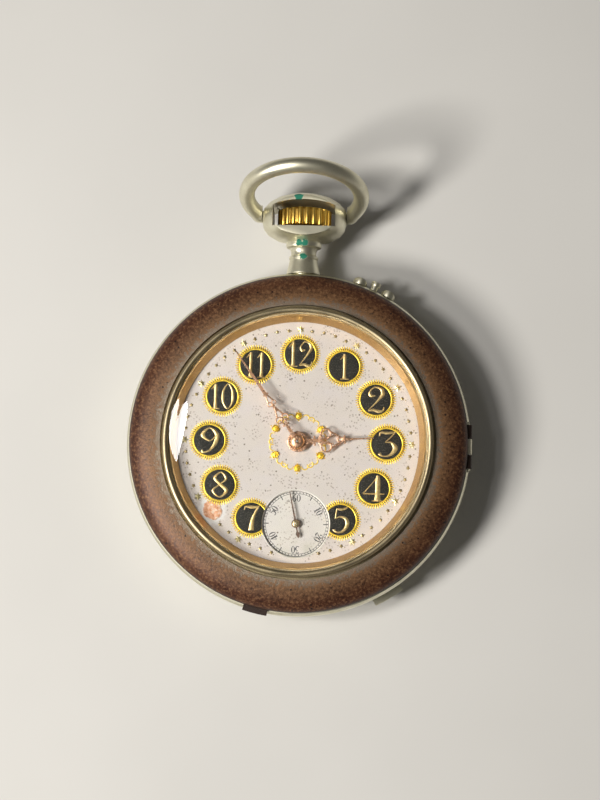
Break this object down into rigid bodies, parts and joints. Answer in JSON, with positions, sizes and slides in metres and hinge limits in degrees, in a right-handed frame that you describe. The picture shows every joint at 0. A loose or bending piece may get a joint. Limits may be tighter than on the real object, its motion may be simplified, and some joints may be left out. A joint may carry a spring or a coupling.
{
  "type": "open face pocket watch",
  "caption": "Open face pocket watch with a keyless bar movement, hinged bezel, back and inner back, and a bow on a crown pendant.",
  "frame": {"origin": "where the case axis meets the flat of the back that the watch rests on", "axes": "+Z out of the back through the dial and crystal, +Y towards the pendant and bow, +X towards three o'clock"},
  "size_m": [0.0505, 0.0655, 0.0191],
  "materials": {
    "nickel_silver": "worn, softly polished, warm grey",
    "brown_patina": "mottled brown patina, satin",
    "crystal_glass": "clear, polished",
    "copper": "polished copper-coloured",
    "crown_brass": "worn, fluted",
    "enamel": "glossy, fine specks",
    "hand_gold": "rose gold, polished",
    "bronze": "dark bronze",
    "gilt": "frosted gilt",
    "bridge_nickel": "striped nickel",
    "wheel_brass": "grained, gilt",
    "steel": "polished",
    "blue_steel": "heat-blued",
    "ruby": "polished ruby"
  },
  "bodies": {
    "case": {"case_band": "nickel_silver", "pendant": "nickel_silver", "stem_sleeve": "steel", "pin_guard": "nickel_silver", "bow_pins": "nickel_silver", "main_plate": "gilt", "barrel_bridge": "bridge_nickel", "centre_bar": "bridge_nickel", "third_cock": "bridge_nickel", "fourth_cock": "bridge_nickel", "escape_cock": "bridge_nickel", "pallet_cock": "bridge_nickel", "balance_cock": "bridge_nickel", "bridge_screws": "blue_steel", "case_screws": "steel", "jewels": "ruby", "dial": "enamel", "seconds_dial": "enamel", "hairspring_stud": "steel", "click_spring": "blue_steel", "yoke_spring": "blue_steel", "hinge_pins": "steel"},
    "front": {"bezel": "brown_patina", "glass_rim": "nickel_silver", "crystal": "crystal_glass", "reflector_ring": "copper"},
    "back": {"back_cover": "nickel_silver"},
    "inner_back": {"cuvette": "nickel_silver"},
    "bow": {"bow": "nickel_silver"},
    "stem": {"crown": "crown_brass", "winding_stem": "steel", "winding_pinion": "steel"},
    "clutch": {"clutch_wheel": "steel"},
    "yoke": {"yoke": "steel"},
    "setting_pin": {"setting_pin": "nickel_silver"},
    "setting": {"setting_wheel": "steel"},
    "ratchet": {"ratchet_wheel": "steel", "barrel_arbor": "steel"},
    "crown_wheel": {"crown_wheel": "steel"},
    "click": {"click": "steel"},
    "barrel": {"barrel": "wheel_brass", "barrel_cover": "wheel_brass", "mainspring": "blue_steel"},
    "centre": {"centre_wheel": "wheel_brass", "centre_pinion": "steel", "cannon_pinion": "steel", "minute_hand": "hand_gold"},
    "minute": {"minute_wheel": "wheel_brass"},
    "hour": {"hour_wheel": "wheel_brass", "hour_hand": "hand_gold"},
    "third": {"third_wheel": "wheel_brass"},
    "fourth": {"fourth_wheel": "wheel_brass", "seconds_hand": "bronze"},
    "escape": {"escape_wheel": "steel"},
    "lever": {"pallet_fork": "steel", "pallet_stones": "ruby"},
    "balance": {"balance_wheel": "wheel_brass", "balance_staff": "steel", "hairspring": "blue_steel"},
    "regulator": {"regulator": "steel"}
  },
  "joints": [
    {"name": "bezel_hinge", "type": "hinge", "parent": "case", "child": "front", "pos_m": [0.02475, 0, 0.0077], "axis": [0, 1, 0], "range_deg": [0, 100]},
    {"name": "back_hinge", "type": "hinge", "parent": "case", "child": "back", "pos_m": [0.02475, 0, 0.0036], "axis": [0, -1, 0], "range_deg": [0, 100]},
    {"name": "cuvette_hinge", "type": "hinge", "parent": "case", "child": "inner_back", "pos_m": [0.02235, 0, 0.00345], "axis": [0, -1, 0], "range_deg": [0, 80]},
    {"name": "bow_swing", "type": "hinge", "parent": "case", "child": "bow", "pos_m": [0, 0.0343, 0.0054], "axis": [1, 0, 0], "range_deg": [-159, 21]},
    {"name": "crown_turn", "type": "hinge", "parent": "case", "child": "stem", "pos_m": [0, 0.032, 0.0054], "axis": [0, 1, 0], "continuous": true},
    {"name": "crown_wheel_turn", "type": "hinge", "parent": "case", "child": "crown_wheel", "pos_m": [0, 0.0124, 0.0027], "axis": [0, 0, 1], "continuous": true},
    {"name": "ratchet_turn", "type": "hinge", "parent": "case", "child": "ratchet", "pos_m": [0.00629, 0.00563, 0.0027], "axis": [0, 0, 1], "continuous": true},
    {"name": "click_rock", "type": "hinge", "parent": "case", "child": "click", "pos_m": [0.01352, 0.00299, 0.0027], "axis": [0, 0, -1], "range_deg": [0, 10]},
    {"name": "setting_push", "type": "slide", "parent": "case", "child": "setting_pin", "axis": [-0.4147, -0.91, 0], "range_m": [0, 0.00045]},
    {"name": "clutch_shift", "type": "slide", "parent": "stem", "child": "clutch", "axis": [0, -1, 0], "range_m": [0, 0.0008]},
    {"name": "yoke_rock", "type": "hinge", "parent": "case", "child": "yoke", "pos_m": [0.0122, 0.0114, 0.00695], "axis": [0, 0, 1], "range_deg": [0, 3.8]},
    {"name": "centre_turn", "type": "hinge", "parent": "case", "child": "centre", "pos_m": [0, 0, 0.0061], "axis": [0, 0, -1], "continuous": true},
    {"name": "barrel_turn", "type": "hinge", "parent": "case", "child": "barrel", "pos_m": [0.00629, 0.00563, 0.0049], "axis": [0, 0, -1], "continuous": true},
    {"name": "third_turn", "type": "hinge", "parent": "case", "child": "third", "pos_m": [0.00289, -0.0066, 0.005], "axis": [0, 0, -1], "continuous": true},
    {"name": "fourth_turn", "type": "hinge", "parent": "case", "child": "fourth", "pos_m": [0, -0.0118, 0.005], "axis": [0, 0, -1], "continuous": true},
    {"name": "escape_turn", "type": "hinge", "parent": "case", "child": "escape", "pos_m": [-0.00422, -0.00901, 0.005], "axis": [0, 0, -1], "continuous": true},
    {"name": "minute_wheel_turn", "type": "hinge", "parent": "case", "child": "minute", "pos_m": [-0.00176, 0.00382, 0.007], "axis": [0, 0, -1], "continuous": true},
    {"name": "hour_turn", "type": "hinge", "parent": "case", "child": "hour", "pos_m": [0, 0, 0.0078], "axis": [0, 0, -1], "continuous": true},
    {"name": "setting_wheel_turn", "type": "hinge", "parent": "case", "child": "setting", "pos_m": [0, 0.0095, 0.007], "axis": [0, 0, -1], "continuous": true},
    {"name": "lever_rock", "type": "hinge", "parent": "case", "child": "lever", "pos_m": [-0.00698, -0.0067, 0.0047], "axis": [0, 0, 1], "range_deg": [-5, 5]},
    {"name": "balance_swing", "type": "hinge", "parent": "case", "child": "balance", "pos_m": [-0.0102, -0.004, 0.0034], "axis": [0, 0, 1], "range_deg": [-220, 220], "deforming": ["hairspring"]},
    {"name": "regulator_swing", "type": "hinge", "parent": "case", "child": "regulator", "pos_m": [-0.0102, -0.004, 0.0014], "axis": [0, 0, 1], "range_deg": [-12, 12]}
  ],
  "couplings": [
    {"joint": "cuvette_hinge", "follows": "back_hinge", "ratio": 0.8},
    {"joint": "crown_wheel_turn", "follows": "crown_turn", "ratio": 0.53846},
    {"joint": "ratchet_turn", "follows": "crown_turn", "ratio": -0.35},
    {"joint": "clutch_shift", "follows": "setting_push", "ratio": 1.7778},
    {"joint": "yoke_rock", "follows": "setting_push", "rad_per_m": 145.44},
    {"joint": "barrel_turn", "follows": "centre_turn", "ratio": -0.125},
    {"joint": "third_turn", "follows": "centre_turn", "ratio": -8},
    {"joint": "fourth_turn", "follows": "centre_turn", "ratio": 60},
    {"joint": "escape_turn", "follows": "centre_turn", "ratio": -600},
    {"joint": "minute_wheel_turn", "follows": "centre_turn", "ratio": -0.33333},
    {"joint": "hour_turn", "follows": "centre_turn", "ratio": 0.083333},
    {"joint": "setting_wheel_turn", "follows": "centre_turn", "ratio": 0.375}
  ]
}
